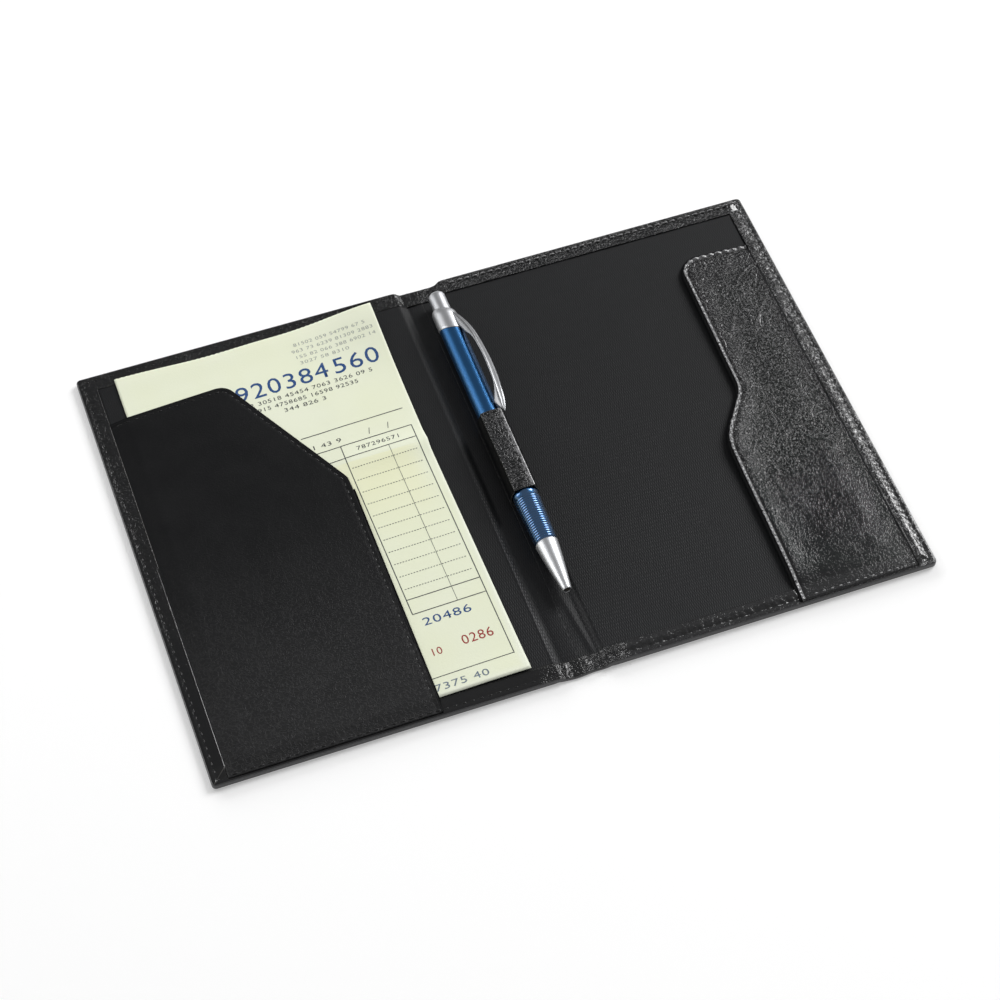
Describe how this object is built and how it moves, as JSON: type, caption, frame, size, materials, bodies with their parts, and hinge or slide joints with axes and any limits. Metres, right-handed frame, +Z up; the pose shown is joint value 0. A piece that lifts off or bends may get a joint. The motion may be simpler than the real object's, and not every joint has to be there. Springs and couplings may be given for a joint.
{
  "type": "guest check presenter",
  "caption": "Folding black guest check presenter lying open, with a slant-cut check pocket, a wavy card pocket, a paper guest check and a blue click pen in a spine loop.",
  "frame": {"origin": "middle of the open presenter's footprint, on its underside", "axes": "+X from the front panel to the back panel across the spine, +Y from tail to head, +Z up out of the inner faces"},
  "size_m": [0.264, 0.18, 0.0145],
  "materials": {
    "leatherette": "black grained leatherette",
    "smooth_leatherette": "black, fine smooth grain",
    "lining_cloth": "black, fine woven grain",
    "greyboard": "grey bookbinder's board",
    "check_paper": "pale yellow-green duplicate paper, matt",
    "blue_lacquer": "blue metallic lacquer",
    "silver_finish": "satin silver plating",
    "white_plastic": "natural acetal",
    "refill_plastic": "blue ink showing through the tube",
    "tip_brass": "turned",
    "spring_steel": "bright wire"
  },
  "bodies": {
    "back_panel": {"back_skin": "leatherette", "back_board": "greyboard", "back_lining": "lining_cloth", "card_pocket": "leatherette"},
    "spine": {"spine_skin": "leatherette", "spine_lining": "lining_cloth", "pen_loop": "leatherette"},
    "front_panel": {"front_skin": "leatherette", "front_board": "greyboard", "front_lining": "lining_cloth", "check_pocket": "smooth_leatherette"},
    "check": {"guest_check": "check_paper"},
    "pen_front": {"pen_nose": "silver_finish", "pen_grip": "blue_lacquer", "refill_spring": "spring_steel"},
    "pen_rear": {"pen_barrel": "blue_lacquer", "clip_collar": "silver_finish", "cam_sleeve": "white_plastic"},
    "plunger": {"pen_plunger": "silver_finish"},
    "refill": {"cam_rotor": "white_plastic", "refill_tube": "refill_plastic", "refill_tip": "tip_brass"}
  },
  "joints": [
    {"name": "back_fold", "type": "hinge", "parent": "back_panel", "child": "spine", "pos_m": [0.01065, 0, 0.0022], "axis": [0, 1, 0], "range_deg": [0, 90]},
    {"name": "front_fold", "type": "hinge", "parent": "spine", "child": "front_panel", "pos_m": [-0.0096, 0, 0.0022], "axis": [0, 1, 0], "range_deg": [0, 90]},
    {"name": "check_slide", "type": "slide", "parent": "front_panel", "child": "check", "axis": [0, 1, 0], "range_m": [0, 0.155]},
    {"name": "pen_slide", "type": "slide", "parent": "spine", "child": "pen_front", "axis": [0, 1, 0], "range_m": [0, 0.085]},
    {"name": "pen_roll", "type": "hinge", "parent": "pen_front", "child": "pen_rear", "pos_m": [0.0048, 0, 0.00645], "axis": [0, -1, 0], "range_deg": [0, 90]},
    {"name": "plunger_press", "type": "slide", "parent": "pen_rear", "child": "plunger", "axis": [0, -1, 0], "range_m": [0, 0.0045], "stiffness_N_per_m": 400, "springref_m": -0.003, "deforming": ["refill_spring"]},
    {"name": "refill_feed", "type": "slide", "parent": "pen_rear", "child": "refill", "axis": [0, -1, 0], "range_m": [0, 0.0045]}
  ],
  "couplings": [
    {"joint": "pen_roll", "follows": "back_fold", "ratio": 1},
    {"joint": "refill_feed", "follows": "plunger_press", "ratio": 1}
  ]
}
